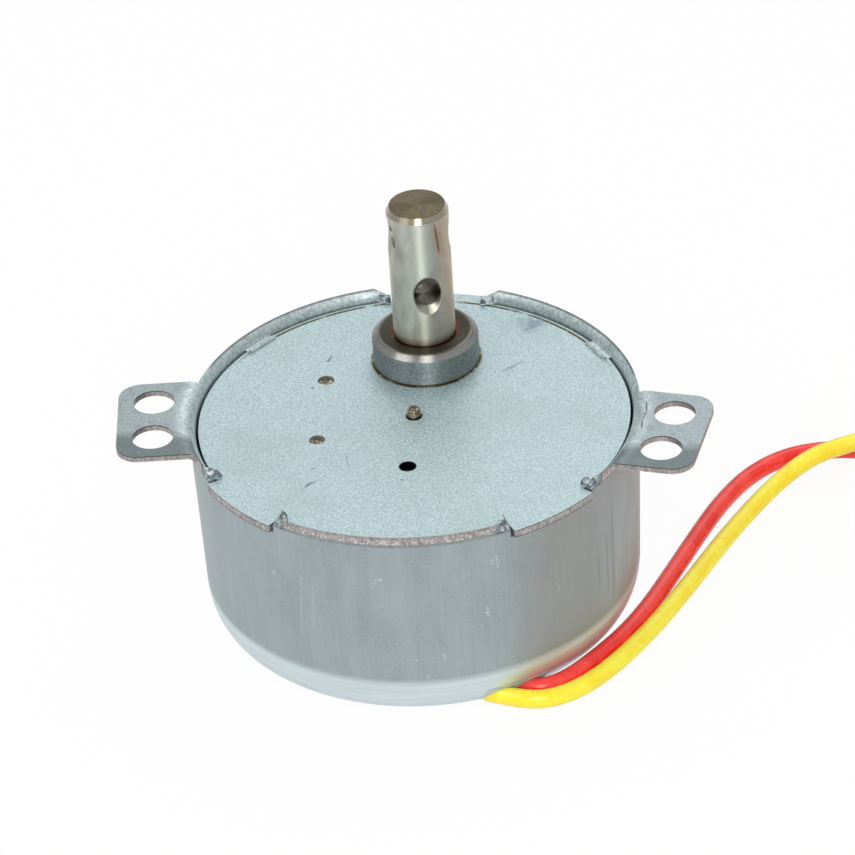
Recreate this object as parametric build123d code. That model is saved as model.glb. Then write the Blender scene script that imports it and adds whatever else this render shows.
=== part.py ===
from build123d import *
import math
import os

# A 50 mm permanent-magnet synchronous gear motor, in millimetres.
# Origin at the centre of the cup's bottom face, +Z along the output shaft,
# +X across the two ears, +Y from the cup's axis towards the output shaft.

# Housing cup, drawn from steel sheet
body_d = 50.0  # outside diameter at the rim
wall_draft = 0.635  # the wall's radius shrinks by this from rim to bottom
sheet = 0.7
corner_in = 3.1  # the bottom corner is a quarter ellipse, this wide
corner_up = 4.7  # and this high
rim_rise = 1.58  # the ears' top above the cover plate's
bend_r = 1.0  # under the flange that the ears are left of
rim_proud = 0.05  # elsewhere the flange is trimmed this far outside the cup's radius
notches = ((77.8, 103.3), (213.0, 239.4), (301.2, 327.2))  # rim cut away between, degrees
ear_reach = 32.8  # straight outer edge of an ear, from the axis
ear_half_w = 7.2
ear_corner_r = 2.5
ear_droop = 8.2  # the ears point this many degrees back from the X axis
ear_hole_d = 4.6
ear_hole_in = 4.0  # ear holes to the ear's outer edge
ear_hole_pitch = 6.9
claw_w = 1.7  # twisted rim ends over the cover plate
claw_reach = 1.0  # beside the ears and at the back
front_claw_reach = 1.75
claw_h = 1.1
claw_reaches = (claw_reach,) * 3 + (front_claw_reach,) * 2 + (claw_reach,)
claw_back = 0.55  # how far the top edge of a claw follows its tip
claw_lift = 0.06  # its tip above the cover plate
claw_inset = 0.06
claw_root = 0.2
claw_mid_in = 0.2  # corners of the rim's section that a claw grows out of
claw_mid_h = 0.75
claw_edge_h = 0.31
claw_top_h = 1.3
claw_lean = 0.3
stakes = (35.5, 144.5)  # lips lanced out of the wall, degrees
stake_w = 4.0
stake_reach = 1.15
stake_h = 0.45
stake_t = 0.5  # the lip stands off the wall, behind a groove
stake_floor = 0.08

# Cover plate
cover_t = 0.89
cover_gap = 0.29  # round the cover plate, inside the cup's wall
plate_gap = 0.04  # round the gear plate
lobe_reach = 25.25  # lobes rest on the wall in the notches
lobe_gap = 0.35  # at each end of a lobe

# Shaft places on the plates
centre_rotor = (0.0, 0.0)
centre_first = (0.47, -9.83)
centre_second = (-10.15, -5.12)
centre_third = (-10.77, 6.70)
centre_output = (0.0, 11.8)

# Gear train: 12-tooth pinions, 100 to 1 in all
pinion_teeth = 12
first_teeth = 36
second_teeth = 40
third_teeth = 40
output_teeth = 36
pressure = math.radians(20.0)
pinion_addendum = 1.1  # in modules
wheel_addendum = 0.75
root_gap = 0.25
flank_relief = 0.04  # each flank stands back by this, for backlash
wheel_t = 1.8
output_wheel_t = 2.2
wheel_rim_w = 1.5  # solid rim of a wheel, under its teeth
web_t = 0.9
hub_wall = 1.0
hub_extra = 0.6  # a moulded hub is thicker than a brass one by this
sleeve_wall = 0.8
layer_gap = 0.4
pinion_over = 0.1  # a pinion stands past its wheel's face by this

# Arbors, washers and running clearances
arbor_d = 1.5
seat_gap = 0.01  # round a pin in the plate that holds it
run_gap = 0.03  # round a turning bore or journal, on the radius
end_float = 0.15
washer_float = 0.05  # washer to a gear's sleeve
washer_t = 0.3
washer_d = 3.6
third_head_d = 1.85
second_head_d = 1.75
head_round = 0.2
open_hole_d = 1.75
pin_hole_d = 1.9
pin_stand = 1.1  # the rotor pin's domed end above the cover plate
arbor_sunk = 0.35  # the first arbor ends this far under the cover plate's top

# Stator
stator_gap = 4.6  # pole rings to the cup's outside radius
pole_ring_t = 1.0
pole_count = 6  # tongues on each pole ring
pole_bore_r = 11.2
tongue_t = 0.8
tongue_root_w = 4.4
tongue_tip_w = 2.6
tongue_gap = 1.0  # tongue end to the opposite ring
bobbin_h = 8.95
bobbin_bore_gap = 0.25  # round the tongues
bobbin_wall = 0.9
flange_t = 0.8
flange_gap = 0.5  # upper flange to the cup's wall
winding_in = 0.8  # the winding stops this far inside the pole rings' edge
tape_t = 0.25
terminal_d = 0.7
terminal_len = 5.6
terminal_out = 1.2  # terminals outside the pole rings' edge
terminal_angle = -62.0
terminal_spread = 7.0  # degrees each side of the terminal angle
gear_plate_t = 0.9
pinion_window = 0.5  # round the rotor pinion, in the gear plate

# Rotor
magnet_gap = 0.4  # magnet to the tongues
magnet_bore_r = 6.0
magnet_h = 7.4
rotor_lift = 0.6  # magnet above the lower pole ring
rotor_float = 0.1
rotor_boss_r = 2.3
rotor_groove_in = 1.0
rotor_groove_depth = 2.2

# Output shaft and bushing
shaft_d = 7.0
shaft_top = 43.75
shaft_chamfer_h = 0.7
shaft_chamfer_w = 0.4
pivot_d = 4.0
shoulder_drop = 0.1  # the shaft's shoulder under its wheel
oil_groove_h = 0.75  # round the shaft at the bushing's mouth
oil_groove_in = 0.25
oil_groove_over = 0.05  # the groove's upper edge above the bushing
cross_hole_d = 3.0
cross_sink_d = 5.0
cross_sink_angle = 120.0
cross_low_z = 33.8
cross_high_z = 40.2
shaft_phase = 19.7  # the upper cross hole's axis from X, degrees, at rest
cross_turn = 90.0  # from the upper cross hole back to the lower one
end_relief = 0.02  # the shaft's end is ground this much under, so that a hub slides on
end_relief_below = 0.3  # from this far under the lower countersink
bushing_d = 12.0
bushing_h = 3.75
bushing_chamfer = 0.6
spigot_d = 10.0
spigot_below = 0.25
output_washer_d = 10.4

# Leads and the insulating bush that they leave through
lead_d = 2.1
bush_wall = 0.55  # beside and above the leads
bush_back = 0.9  # behind the leads' ends
bush_len = 12.0
bush_lip_w = 8.0  # the lip that holds the bush from inside
bush_lip_t = 0.8
bush_lip_h = 1.0
groove_gap = 0.05
window_gap = 0.05
route_angle = -55.0  # the routes are laid out from the cup's edge in this direction
red_route = (
    (-3.41, 2.11, 1.05),
    (0.46, 0.98, 1.05),
    (3.56, 3.08, 1.05),
    (6.36, 6.63, 1.05),
    (8.96, 11.48, 1.05),
    (11.36, 16.98, 1.05),
    (13.56, 23.48, 1.05),
    (15.76, 30.48, 1.05),
    (17.76, 36.68, 1.05),
    (20.56, 42.38, 1.05),
    (24.56, 46.38, 1.05),
    (29.26, 48.28, 1.05),
    (34.66, 47.38, 1.05),
    (40.86, 45.68, 1.05),
    (47.06, 43.88, 2.1),
)
yellow_route = (
    (-5.14, 0.08, 1.05),
    (-0.84, -1.02, 1.05),
    (3.06, -0.42, 1.05),
    (6.56, 2.68, 1.05),
    (9.86, 7.73, 1.05),
    (13.06, 14.28, 1.05),
    (16.16, 22.18, 1.05),
    (19.26, 29.68, 1.05),
    (22.26, 36.48, 1.3),
    (25.06, 41.78, 2.7),
    (28.06, 45.98, 3.6),
    (32.06, 49.38, 3.6),
    (37.46, 52.28, 2.4),
    (43.66, 55.68, 2.1),
    (49.86, 59.08, 2.1),
)
coil_r = 9.4  # middle of the coiled turns
coil_w = 4.3
coil_h = 4.3
coil_round = 1.2

# Heights, stacked up from the cup's bottom
lower_ring_z = sheet
bobbin_z = lower_ring_z + pole_ring_t
upper_ring_z = bobbin_z + bobbin_h
gear_plate_z = upper_ring_z + pole_ring_t
gear_floor_z = gear_plate_z + gear_plate_t
sleeve_z = gear_floor_z + washer_t + washer_float
first_z = sleeve_z + washer_float
second_z = first_z + wheel_t + layer_gap
third_z = second_z + wheel_t + layer_gap
output_z = third_z + wheel_t + layer_gap
cover_z = output_z + output_wheel_t + end_float + washer_t + end_float + spigot_below
cover_top_z = cover_z + cover_t
rim_z = cover_top_z + rim_rise
foot_z = rim_z - sheet - bend_r  # the flange's bend starts here

# Radii that follow the cup's
pole_ring_r = body_d / 2 - stator_gap
winding_r = pole_ring_r - winding_in
bobbin_bore_r = math.hypot(pole_bore_r + tongue_t, tongue_root_w / 2) + bobbin_bore_gap
magnet_r = pole_bore_r - magnet_gap

quarter = 90.0
past = 5.0  # how far a cutting shape runs past what it cuts


def polar(r, degrees):
    return (r * math.cos(math.radians(degrees)), r * math.sin(math.radians(degrees)))


def disc(r, z, h, at=(0.0, 0.0)):
    """A cylinder that stands on height z."""
    return Pos(at[0], at[1], z + h / 2) * Cylinder(r, h)


def bore(r, at=(0.0, 0.0)):
    """A cylinder through everything in the cup."""
    return disc(r, -past, rim_z + 2 * past, at)


def tube(r_out, r_in, z, h, at=(0.0, 0.0)):
    return disc(r_out, z, h, at) - bore(r_in, at)


def turned(points):
    """A solid turned about Z from (radius, height) points."""
    return revolve(Plane.XZ * make_face(Polyline(*points, close=True)), Axis.Z)


def wedge(start, end, r, z, h):
    """A pie slice between two angles, wider than r everywhere."""
    half = math.radians(end - start) / 2
    far = r / math.cos(half)
    middle = polar(far / math.cos(half), (start + end) / 2)
    corners = [(0, 0), polar(far, start), middle, polar(far, end)]
    return extrude(Pos(0, 0, z) * make_face(Polyline(*corners, close=True)), h)


def cup_r(z):
    """The cup wall's outside radius at height z."""
    return body_d / 2 - wall_draft * (1 - z / rim_z)


def wall_edges(offset):
    """The cup's section from its axis up to the flange's bend, moved in by an offset."""
    low = cup_r(corner_up) - offset
    flat_r = cup_r(corner_up) - corner_in
    corner = EllipticalCenterArc(
        (flat_r, corner_up),
        corner_in - offset,
        corner_up - offset,
        start_angle=-quarter,
        arc_size=quarter,
    )
    wall = Line((low, corner_up), (cup_r(foot_z) - offset, foot_z))
    return [Line((0, offset), (flat_r, offset)), corner, wall]


def filled_cup(offset):
    """Everything inside the cup's outer face, moved in by an offset."""
    top = [Line((cup_r(foot_z) - offset, foot_z), (0, foot_z)), Line((0, foot_z), (0, offset))]
    return revolve(Plane.XZ * make_face(wall_edges(offset) + top), Axis.Z)


def drawn_cup():
    """The cup with its whole flange."""
    middle = cup_r(foot_z) + bend_r
    far = ear_reach + past
    flange = [
        CenterArc((middle, foot_z), bend_r, quarter, quarter),
        CenterArc((middle, foot_z), bend_r + sheet, quarter, quarter),
        Line((middle, rim_z - sheet), (far, rim_z - sheet)),
        Line((far, rim_z - sheet), (far, rim_z)),
        Line((far, rim_z), (middle, rim_z)),
        Line((0, 0), (0, sheet)),
    ]
    return revolve(Plane.XZ * make_face(wall_edges(0) + wall_edges(sheet) + flange), Axis.Z)


def ear_strip():
    """The ear's plan along +X from inside the wall, with rounded outer corners."""
    inner = body_d / 2 - past
    size = (ear_reach - inner, 2 * ear_half_w, 2 * past)
    block = Pos((inner + ear_reach) / 2, 0, rim_z) * Box(*size)
    block = fillet(block.edges().filter_by(Axis.Z).group_by(Axis.X)[-1], ear_corner_r)
    for side in (-1, 1):
        block -= bore(ear_hole_d / 2, (ear_reach - ear_hole_in, side * ear_hole_pitch / 2))
    return block


def claw(angle, side, reach):
    """The end of a stretch of rim, twisted in over the cover plate beside a notch."""
    outer = body_d / 2 - claw_inset
    inner = outer - sheet
    low, top = cover_top_z - claw_root, cover_top_z
    trimmed = outer + rim_proud
    straight = [
        (outer, low),
        (inner, top),
        (inner + claw_mid_in, top + claw_mid_h),
        (trimmed, top + claw_top_h),
        (trimmed, top + claw_edge_h),
    ]
    leaning = [
        (outer, low),
        (inner, top),
        (inner - reach, top + claw_lift),
        (inner - reach * claw_back, top + claw_h),
        (outer - claw_lean, top + claw_edge_h),
    ]
    turn = side * math.degrees(claw_w / outer)
    ends = []
    for at, corners in ((angle + turn, straight), (angle, leaning)):
        ends.append(Rot(0, 0, at) * (Plane.XZ * make_face(Polyline(*corners, close=True))))
    return loft(ends, ruled=True)


def stake(angle):
    """A lip lanced out of the wall, over the cover plate's edge."""
    seat = body_d / 2 - sheet / 2
    tip = body_d / 2 - sheet - stake_reach
    low, high = cover_top_z, cover_top_z + stake_h
    profile = Polyline(
        (seat, low),
        (tip, low),
        (tip, (low + high) / 2),
        (tip + stake_t / 2, high),
        (tip + stake_t, low + stake_floor),
        (seat, low + stake_floor),
        close=True,
    )
    return Rot(0, 0, angle) * extrude(Plane.XZ * make_face(profile), stake_w / 2, both=True)


def route_shift():
    dx, dy = polar(body_d / 2, route_angle)
    return Vector(dx, dy, 0)


def route_points(route):
    return [Vector(*p) + route_shift() for p in route]


def bush_place():
    """The frame of the lead bush: between the leads' ends, along the way they leave."""
    red, yellow = route_points(red_route), route_points(yellow_route)
    middle = (red[0] + yellow[0]) / 2
    return Plane(origin=(middle.X, middle.Y, 0), x_dir=red[1] - red[0], z_dir=(0, 0, 1))


def bush_block(gap):
    """The space in the cup's lower corner that the lead bush fills, less a gap."""
    red, yellow = route_points(red_route), route_points(yellow_route)
    across = (bush_place().to_local_coords(red[0]) - bush_place().to_local_coords(yellow[0])).Y
    width = abs(across) + lead_d + 2 * bush_wall - 2 * gap
    start = (Align.MIN, Align.CENTER, Align.MIN)
    block = Box(bush_len, width, lead_d + bush_wall - gap, align=start)
    return bush_place() * Pos(gap - bush_back, 0, 0) * block


def housing_cup():
    trim = tube(ear_reach + 2 * past, body_d / 2 + rim_proud, foot_z - past, 3 * past)
    for turn in (-ear_droop, 180 + ear_droop):
        trim -= Rot(0, 0, turn) * ear_strip()
    body = drawn_cup() - trim
    turn = math.degrees(claw_w / (body_d / 2))
    for k, (start, end) in enumerate(notches):
        body -= wedge(start, end, body_d, cover_z, past)
        body -= wedge(start - turn, end + turn, body_d, cover_top_z, past)
        body += claw(start, -1, claw_reaches[2 * k])
        body += claw(end, 1, claw_reaches[2 * k + 1])
    for angle in stakes:
        body += stake(angle)
    body -= bush_block(0)
    return body - disc(arbor_d / 2 + seat_gap, -past, 2 * past)


def cover_plate():
    body = disc(cup_r(cover_z) - sheet - cover_gap, cover_z, cover_t)
    for start, end in notches:
        gap = math.degrees(lobe_gap / lobe_reach)
        slice_ = wedge(start + gap, end - gap, body_d, cover_z, cover_t)
        body += slice_ & disc(lobe_reach, cover_z, cover_t)
    for d, at in (
        (pin_hole_d, centre_rotor),
        (third_head_d + 2 * seat_gap, centre_third),
        (second_head_d + 2 * seat_gap, centre_second),
        (open_hole_d, centre_first),
        (spigot_d + 2 * seat_gap, centre_output),
    ):
        body -= bore(d / 2, at)
    return body


def output_bushing():
    top = cover_top_z + bushing_h
    inside = shaft_d / 2 + run_gap
    body = turned(
        [
            (inside, cover_z - spigot_below),
            (spigot_d / 2, cover_z - spigot_below),
            (spigot_d / 2, cover_top_z),
            (bushing_d / 2, cover_top_z),
            (bushing_d / 2, top - bushing_chamfer),
            (bushing_d / 2 - bushing_chamfer, top),
            (inside, top),
        ]
    )
    return Pos(*centre_output) * body


def pole_ring(z, up):
    """A ring with tongues bent up, or down where up is -1."""
    length = bobbin_h - tongue_gap + pole_ring_t
    body = tube(pole_ring_r, pole_bore_r + tongue_t, 0, pole_ring_t)
    root, tip = tongue_root_w / 2, tongue_tip_w / 2
    plan = make_face(Polyline((-root, 0), (root, 0), (tip, length), (-tip, length), close=True))
    tongue = extrude(Plane.YZ * plan, tongue_t)
    start = (Align.MIN, Align.CENTER, Align.MIN)
    foot = Box(tongue_t * 2, tongue_root_w, pole_ring_t, align=start)
    for k in range(pole_count):
        body += Rot(0, 0, k * 360 / pole_count) * Pos(pole_bore_r, 0, 0) * (tongue + foot)
    if up < 0:
        body = Pos(0, 0, pole_ring_t) * Rot(180, 0, 180 / pole_count) * body
    return Pos(0, 0, z) * body


def terminal_place(side):
    return polar(pole_ring_r + terminal_out, terminal_angle + side * terminal_spread)


def bobbin():
    upper = cup_r(upper_ring_z) - sheet - flange_gap
    body = tube(pole_ring_r, bobbin_bore_r, bobbin_z, flange_t)
    body += tube(bobbin_bore_r + bobbin_wall, bobbin_bore_r, bobbin_z, bobbin_h)
    body += tube(upper, bobbin_bore_r, upper_ring_z - flange_t, flange_t)
    for side in (-1, 1):
        body -= bore(terminal_d / 2 + seat_gap, terminal_place(side))
    return body


def between_flanges(r_out, r_in):
    height = bobbin_h - 2 * flange_t - 2 * seat_gap
    return tube(r_out, r_in, bobbin_z + flange_t + seat_gap, height)


def coil_winding():
    return between_flanges(winding_r, bobbin_bore_r + bobbin_wall + seat_gap)


def coil_tape():
    return between_flanges(winding_r + seat_gap + tape_t, winding_r + seat_gap)


def terminal_pins():
    low = upper_ring_z - terminal_len
    pins = [disc(terminal_d / 2, low, terminal_len - seat_gap, terminal_place(s)) for s in (-1, 1)]
    return Compound(children=pins)


def gear_plate():
    body = disc(cup_r(gear_plate_z) - sheet - plate_gap, gear_plate_z, gear_plate_t)
    pinion_r = first_module * (pinion_teeth / 2 + pinion_addendum)
    body -= bore(pinion_r + pinion_window)
    for at in (centre_first, centre_second, centre_third):
        body -= bore(arbor_d / 2 + seat_gap, at)
    return body - bore(pivot_d / 2 + run_gap, centre_output)


def rotor_pin():
    body = disc(arbor_d / 2, 0, cover_top_z + pin_stand)
    return fillet(body.edges().group_by(Axis.Z)[-1], arbor_d * 0.3)


def arbor(at, head_d, top):
    """A gear arbor staked in both plates, with a wider head in the cover plate."""
    body = disc(arbor_d / 2, gear_plate_z, cover_z - gear_plate_z, at)
    if head_d:
        head = disc(head_d / 2, cover_z, top - cover_z, at)
        return body + fillet(head.edges().group_by(Axis.Z)[-1], head_round)
    return body + disc(arbor_d / 2, cover_z, top - cover_z, at)


def thrust_washers():
    inside = arbor_d / 2 + run_gap
    washers = [
        tube(washer_d / 2, inside, gear_floor_z, washer_t, at)
        for at in (centre_first, centre_second, centre_third)
    ]
    washers.append(tube(washer_d / 2, inside, sheet, washer_t))
    return Compound(children=washers)


def output_washer():
    z = output_z + output_wheel_t + end_float
    return tube(output_washer_d / 2, shaft_d / 2 + run_gap, z, washer_t, centre_output)


def module_of(a, b, teeth):
    """The module that lets a pinion and a wheel mesh between two arbors."""
    return 2 * math.dist(a, b) / (pinion_teeth + teeth)


def involute(angle):
    return math.tan(angle) - angle


def gear_face(teeth, module, addendum, dedendum, phase):
    """A toothed outline with involute flanks, one tooth centred on the phase angle."""
    r = module * teeth / 2
    base = r * math.cos(pressure)
    tip = r + addendum * module
    root = r - dedendum * module
    start = max(base, root)
    half = math.pi / 2 / teeth + involute(pressure) - flank_relief / r

    def at(radius, centre, side):
        lean = half - involute(math.acos(min(1.0, base / radius)))
        turn = centre + side * lean
        return (radius * math.cos(turn), radius * math.sin(turn))

    edges = []
    last = None
    for k in range(teeth):
        centre = phase + 2 * math.pi * k / teeth
        for side in (-1, 1):
            flank = [at(q, centre, side) for q in (start, (start + tip) / 2, tip)][::-side]
            foot = at(start, centre, side)
            scale = root / start
            low = (foot[0] * scale, foot[1] * scale)
            if side < 0:
                if last:
                    edges.append(Line(last, low))
                else:
                    first = low
                if base > root:
                    edges.append(Line(low, foot))
                edges.append(ThreePointArc(*flank))
                crown = flank[-1]
            else:
                edges.append(Line(crown, flank[0]))
                edges.append(ThreePointArc(*flank))
                if base > root:
                    edges.append(Line(foot, low))
                last = low
    edges.append(Line(last, first))
    return make_face(edges)


def pinion(module, phase, z, h, at):
    face = gear_face(pinion_teeth, module, pinion_addendum, wheel_addendum + root_gap, phase)
    return Pos(at[0], at[1], z) * extrude(face, h)


def wheel(teeth, module, phase, z, h, at, hub_r):
    """A toothed wheel with a thinner web between its rim and its hub."""
    face = gear_face(teeth, module, wheel_addendum, pinion_addendum + root_gap, phase)
    body = extrude(face, h)
    rim_r = module * (teeth / 2 - pinion_addendum - root_gap) - wheel_rim_w
    depth = (h - web_t) / 2
    for low in (-past, h - depth):
        body -= tube(rim_r, hub_r, low, depth + past)
    return Pos(at[0], at[1], z) * body


def meshed(phase, driver_teeth, driver, teeth, follower):
    """The phase that puts a gear in mesh with the one that drives it."""
    line = math.atan2(follower[1] - driver[1], follower[0] - driver[0])
    return line + math.pi + math.pi / teeth - (phase - line) * driver_teeth / teeth


first_module = module_of(centre_rotor, centre_first, first_teeth)
second_module = module_of(centre_first, centre_second, second_teeth)
third_module = module_of(centre_second, centre_third, third_teeth)
output_module = module_of(centre_third, centre_output, output_teeth)
rotor_phase = 0.0
first_phase = meshed(rotor_phase, pinion_teeth, centre_rotor, first_teeth, centre_first)
second_phase = meshed(first_phase, pinion_teeth, centre_first, second_teeth, centre_second)
third_phase = meshed(second_phase, pinion_teeth, centre_second, third_teeth, centre_third)
output_phase = meshed(third_phase, pinion_teeth, centre_third, output_teeth, centre_output)
bore_r = arbor_d / 2 + run_gap
sleeve_r = bore_r + sleeve_wall
moulded_hub_r = bore_r + hub_wall + hub_extra


def rotor_magnet():
    return tube(magnet_r, magnet_bore_r + seat_gap, bobbin_z + rotor_lift, magnet_h)


def rotor_hub():
    """The moulded hub that carries the magnet, with the rotor pinion on its top."""
    z = bobbin_z + rotor_lift
    top = z + magnet_h
    low = sheet + washer_t + rotor_float
    body = disc(magnet_bore_r, z, magnet_h)
    body += disc(rotor_boss_r, low, first_z - layer_gap / 2 - low)
    foot = first_z - layer_gap / 2
    body += pinion(first_module, rotor_phase, foot, first_z + wheel_t + pinion_over - foot, centre_rotor)
    outer, inner = magnet_bore_r - rotor_groove_in, rotor_boss_r + rotor_groove_in
    for groove_z in (z - past, top - rotor_groove_depth):
        body -= tube(outer, inner, groove_z, rotor_groove_depth + past)
    return body - bore(bore_r)


def sleeve(at):
    """The round body of a gear on its arbor, from its washer to the cover plate."""
    return disc(sleeve_r, sleeve_z, cover_z - end_float - sleeve_z, at)


def first_gear():
    """The nylon first gear: wheel and pinion in one moulding."""
    body = wheel(first_teeth, first_module, first_phase, first_z, wheel_t, centre_first, moulded_hub_r)
    z = first_z + wheel_t
    body += pinion(second_module, first_phase, z, layer_gap + wheel_t + pinion_over, centre_first)
    body += sleeve(centre_first)
    return body - bore(bore_r, centre_first)


def steel_pinion(module, phase, z, top, at):
    body = pinion(module, phase, z + seat_gap, top + pinion_over - z - seat_gap, at)
    body += sleeve(at)
    return body - bore(bore_r, at)


def seated_wheel(teeth, module, phase, z, h, at, seat_r):
    """A wheel pressed on its pinion's sleeve or on the shaft."""
    body = wheel(teeth, module, phase, z, h, at, seat_r + hub_wall)
    return body - bore(seat_r + seat_gap, at)


def second_wheel():
    place = (second_z, wheel_t, centre_second)
    return seated_wheel(second_teeth, second_module, second_phase, *place, sleeve_r)


def second_pinion():
    top = third_z + wheel_t
    return steel_pinion(third_module, second_phase, second_z + wheel_t, top, centre_second)


def third_wheel():
    place = (third_z, wheel_t, centre_third)
    return seated_wheel(third_teeth, third_module, third_phase, *place, sleeve_r)


def third_pinion():
    top = output_z + output_wheel_t
    return steel_pinion(output_module, third_phase, third_z + wheel_t, top, centre_third)


def output_wheel():
    place = (output_z, output_wheel_t, centre_output)
    return seated_wheel(output_teeth, output_module, output_phase, *place, shaft_d / 2)


def cross_hole(z, direction):
    """A hole across the shaft with a countersink at each end."""
    body = Cylinder(cross_hole_d / 2, shaft_d * 2)
    slope = math.tan(math.radians(cross_sink_angle / 2))
    reach = shaft_d / 2
    edge = cross_sink_d / 2
    inner = reach - (edge - cross_hole_d / 2) / slope
    wide = edge + slope
    cone = turned([(0, inner), (cross_hole_d / 2, inner), (wide, reach + 1), (0, reach + 1)])
    body += cone
    body += mirror(cone, Plane.XY)
    return Pos(centre_output[0], centre_output[1], z) * Rot(0, 0, direction) * Rot(0, 90, 0) * body


def output_shaft():
    r = shaft_d / 2
    shoulder = output_z - shoulder_drop
    groove_top = cover_top_z + bushing_h + oil_groove_over
    relief_z = cross_low_z - cross_sink_d / 2 - end_relief_below
    body = turned(
        [
            (0, gear_plate_z),
            (pivot_d / 2, gear_plate_z),
            (pivot_d / 2, shoulder),
            (r, shoulder),
            (r, groove_top - oil_groove_h),
            (r - oil_groove_in, groove_top - oil_groove_h),
            (r - oil_groove_in, groove_top),
            (r, groove_top),
            (r, relief_z),
            (r - end_relief, relief_z),
            (r - end_relief, shaft_top - shaft_chamfer_h),
            (r - shaft_chamfer_w, shaft_top),
            (0, shaft_top),
        ]
    )
    body = Pos(*centre_output) * body
    body -= cross_hole(cross_high_z, shaft_phase)
    return body - cross_hole(cross_low_z, shaft_phase - cross_turn)


def lead_bush():
    """The insulating bush clipped in the cup's lower corner, with a lip inside the cup."""
    body = bush_block(window_gap) & filled_cup(0)
    start = (Align.MIN, Align.CENTER, Align.MIN)
    lip = Box(bush_lip_t, bush_lip_w, lead_d + bush_lip_h, align=start)
    lip = bush_place() * Pos(window_gap - bush_back, 0, 0) * lip
    body += lip & filled_cup(sheet + window_gap)
    body -= bore(pole_ring_r + 2 * window_gap)
    return body - lead_tube(red_route, groove_gap) - lead_tube(yellow_route, groove_gap)


def lead_path(route):
    """Straight runs joined by arcs as large as the runs allow."""
    points = route_points(route)
    radii = []
    for a, b, c in zip(points, points[1:], points[2:]):
        half_turn = math.radians((b - a).get_angle(c - b)) / 2
        radii.append(0.45 * min((b - a).length, (c - b).length) / math.tan(half_turn))
    return FilletPolyline(*points, radius=radii), radii


def lead_tube(route, gap=0.0):
    """A lead's tube, or with a gap the space round it."""
    points = route_points(route)
    start = Plane(origin=points[0], z_dir=points[1] - points[0])
    return sweep(start * Circle(lead_d / 2 + gap), path=lead_path(route)[0])


def lead(route):
    path, radii = lead_path(route)
    body = lead_tube(route)
    full = math.pi * lead_d**2 / 4 * path.length
    print("lead length", round(path.length, 1), "radii", [round(r, 1) for r in radii])
    print("lead volume over section times length", round(body.volume / full, 4))
    return body


def lead_coil(route, side):
    """The rest of a lead, wound up: a ring that the tube runs into along a tangent."""
    points = route_points(route)
    along = (points[-1] - points[-2]).normalized()
    centre = points[-1] + Vector(-along.Y, along.X, 0) * side * coil_r
    ring = disc(coil_r + coil_w / 2, 0, coil_h) - disc(coil_r - coil_w / 2, -past, coil_h + 2 * past)
    return Pos(centre.X, centre.Y, 0) * fillet(ring.edges(), coil_round)


NODES = {
    "housing_cup": housing_cup,
    "cover_plate": cover_plate,
    "output_bushing": output_bushing,
    "lower_pole_ring": lambda: pole_ring(lower_ring_z, 1),
    "upper_pole_ring": lambda: pole_ring(upper_ring_z, -1),
    "coil_bobbin": bobbin,
    "coil_winding": coil_winding,
    "coil_tape": coil_tape,
    "terminal_pins": terminal_pins,
    "gear_plate": gear_plate,
    "rotor_pin": rotor_pin,
    "first_arbor": lambda: arbor(centre_first, 0, cover_top_z - arbor_sunk),
    "second_arbor": lambda: arbor(centre_second, second_head_d, cover_top_z),
    "third_arbor": lambda: arbor(centre_third, third_head_d, cover_top_z),
    "thrust_washers": thrust_washers,
    "lead_bush": lead_bush,
    "red_lead": lambda: lead(red_route),
    "yellow_lead": lambda: lead(yellow_route),
    "red_coil": lambda: lead_coil(red_route, -1),
    "yellow_coil": lambda: lead_coil(yellow_route, 1),
    "rotor_magnet": rotor_magnet,
    "rotor_hub": rotor_hub,
    "first_gear": first_gear,
    "second_wheel": second_wheel,
    "second_pinion": second_pinion,
    "third_wheel": third_wheel,
    "third_pinion": third_pinion,
    "output_wheel": output_wheel,
    "output_shaft": output_shaft,
    "output_washer": output_washer,
}

os.makedirs("parts", exist_ok=True)
for node, make in NODES.items():
    export_step(make(), f"parts/{node}.step")
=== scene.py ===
import math

import bpy
from mathutils import Matrix, Vector


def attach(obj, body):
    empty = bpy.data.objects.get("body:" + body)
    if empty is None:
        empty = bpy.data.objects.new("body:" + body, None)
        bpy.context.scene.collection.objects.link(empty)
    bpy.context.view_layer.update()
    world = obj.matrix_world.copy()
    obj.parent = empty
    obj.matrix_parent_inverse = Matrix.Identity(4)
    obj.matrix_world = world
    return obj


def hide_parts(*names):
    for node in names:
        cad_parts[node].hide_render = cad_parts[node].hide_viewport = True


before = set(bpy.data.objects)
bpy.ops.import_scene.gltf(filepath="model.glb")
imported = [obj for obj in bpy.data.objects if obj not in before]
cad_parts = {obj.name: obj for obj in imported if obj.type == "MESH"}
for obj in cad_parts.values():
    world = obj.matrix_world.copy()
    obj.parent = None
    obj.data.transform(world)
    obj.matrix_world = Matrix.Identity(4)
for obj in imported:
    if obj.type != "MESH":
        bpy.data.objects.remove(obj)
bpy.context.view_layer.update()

# A 50 mm synchronous gear motor on a pale floor.
# Sizes are written in millimetres and turned to metres by MM.
MM = 0.001

# Heights, radii and upright axes on the motor that its patterns start from
COVER_UNDER = 22.6
COVER_TOP = 23.49
RIM_TOP = 25.07
BUSH_TOP = 27.24
CHAMFER_FOOT = 43.05
SHAFT_END = 43.75
WALL_R = 24.4
CUP_R = 25.0
SHAFT_R = 3.5
BUSH_R = 6.0
MOTOR_AXIS = (0.0, 0.0)
SHAFT_AXIS = (0.0, 11.8)
FIRST_ARBOR = (0.47, -9.83)
SECOND_ARBOR = (-10.77, 6.70)
THIRD_ARBOR = (-10.15, -5.12)
CLAW_R = 24.1
CLAW_ANGLES = (77.8, 103.3, 213.0, 239.4, 301.2, 327.2)


# Camera

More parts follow.
